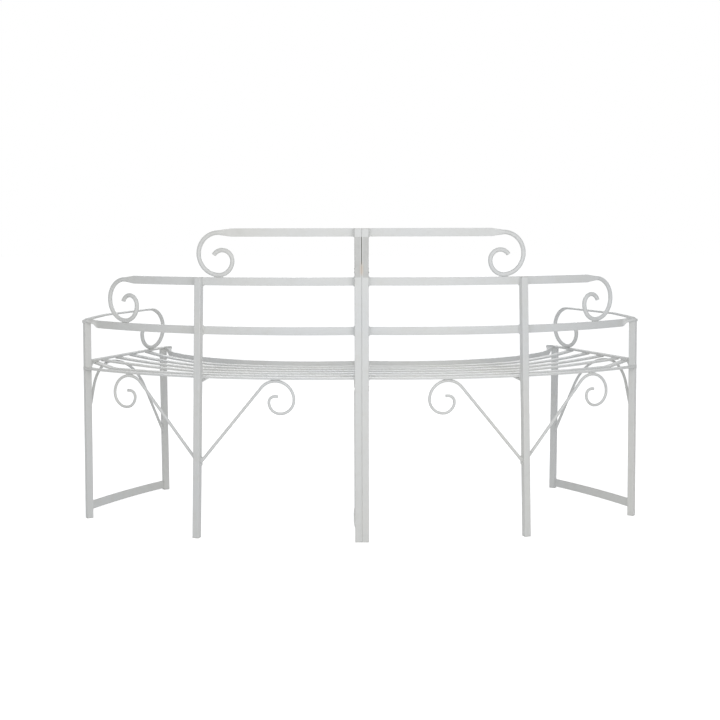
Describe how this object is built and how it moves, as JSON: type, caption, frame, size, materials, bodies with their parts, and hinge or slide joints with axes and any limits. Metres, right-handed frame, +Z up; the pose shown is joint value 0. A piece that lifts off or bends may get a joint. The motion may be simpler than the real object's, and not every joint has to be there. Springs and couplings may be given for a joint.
{
  "type": "curved garden bench",
  "caption": "White curved steel garden bench in two mirrored modules, with a stepped scrolled back, scrolled armrests and a slatted seat.",
  "frame": {"origin": "on the floor, at the middle of the bench's box", "axes": "+X along the bench to the right as seen from behind its back, +Y from the back to the concave front where the sitters face, +Z up"},
  "size_m": [1.631, 0.6842, 0.85],
  "materials": {
    "white_powder_coat": "satin",
    "white_plastic": "matte",
    "zinc_plated_steel": "satin"
  },
  "bodies": {
    "root": {"joining_bolts": "zinc_plated_steel", "joining_sleeve_nuts": "zinc_plated_steel", "left_centre_arch_brace": "white_powder_coat", "left_centre_back_post": "white_powder_coat", "left_centre_front_leg": "white_powder_coat", "left_centre_seat_rail": "white_powder_coat", "left_centre_stretcher": "white_powder_coat", "left_end_arch_brace": "white_powder_coat", "left_end_arm_post": "white_powder_coat", "left_end_back_leg": "white_powder_coat", "left_end_front_leg": "white_powder_coat", "left_end_stretcher": "white_powder_coat", "left_foot_plugs": "white_plastic", "left_inner_scroll_brace": "white_powder_coat", "left_lower_rail_armrest": "white_powder_coat", "left_mid_back_post": "white_powder_coat", "left_middle_rail": "white_powder_coat", "left_outer_scroll_brace": "white_powder_coat", "left_post_top_caps": "white_plastic", "left_seat_back_rim": "white_powder_coat", "left_seat_crossbar": "white_powder_coat", "left_seat_front_rim": "white_powder_coat", "left_seat_slat_1": "white_powder_coat", "left_seat_slat_2": "white_powder_coat", "left_seat_slat_3": "white_powder_coat", "left_seat_slat_4": "white_powder_coat", "left_seat_slat_5": "white_powder_coat", "left_top_rail": "white_powder_coat", "right_centre_arch_brace": "white_powder_coat", "right_centre_back_post": "white_powder_coat", "right_centre_front_leg": "white_powder_coat", "right_centre_seat_rail": "white_powder_coat", "right_centre_stretcher": "white_powder_coat", "right_end_arch_brace": "white_powder_coat", "right_end_arm_post": "white_powder_coat", "right_end_back_leg": "white_powder_coat", "right_end_front_leg": "white_powder_coat", "right_end_stretcher": "white_powder_coat", "right_foot_plugs": "white_plastic", "right_inner_scroll_brace": "white_powder_coat", "right_lower_rail_armrest": "white_powder_coat", "right_mid_back_post": "white_powder_coat", "right_middle_rail": "white_powder_coat", "right_outer_scroll_brace": "white_powder_coat", "right_post_top_caps": "white_plastic", "right_seat_back_rim": "white_powder_coat", "right_seat_crossbar": "white_powder_coat", "right_seat_front_rim": "white_powder_coat", "right_seat_slat_1": "white_powder_coat", "right_seat_slat_2": "white_powder_coat", "right_seat_slat_3": "white_powder_coat", "right_seat_slat_4": "white_powder_coat", "right_seat_slat_5": "white_powder_coat", "right_top_rail": "white_powder_coat"}
  },
  "joints": []
}
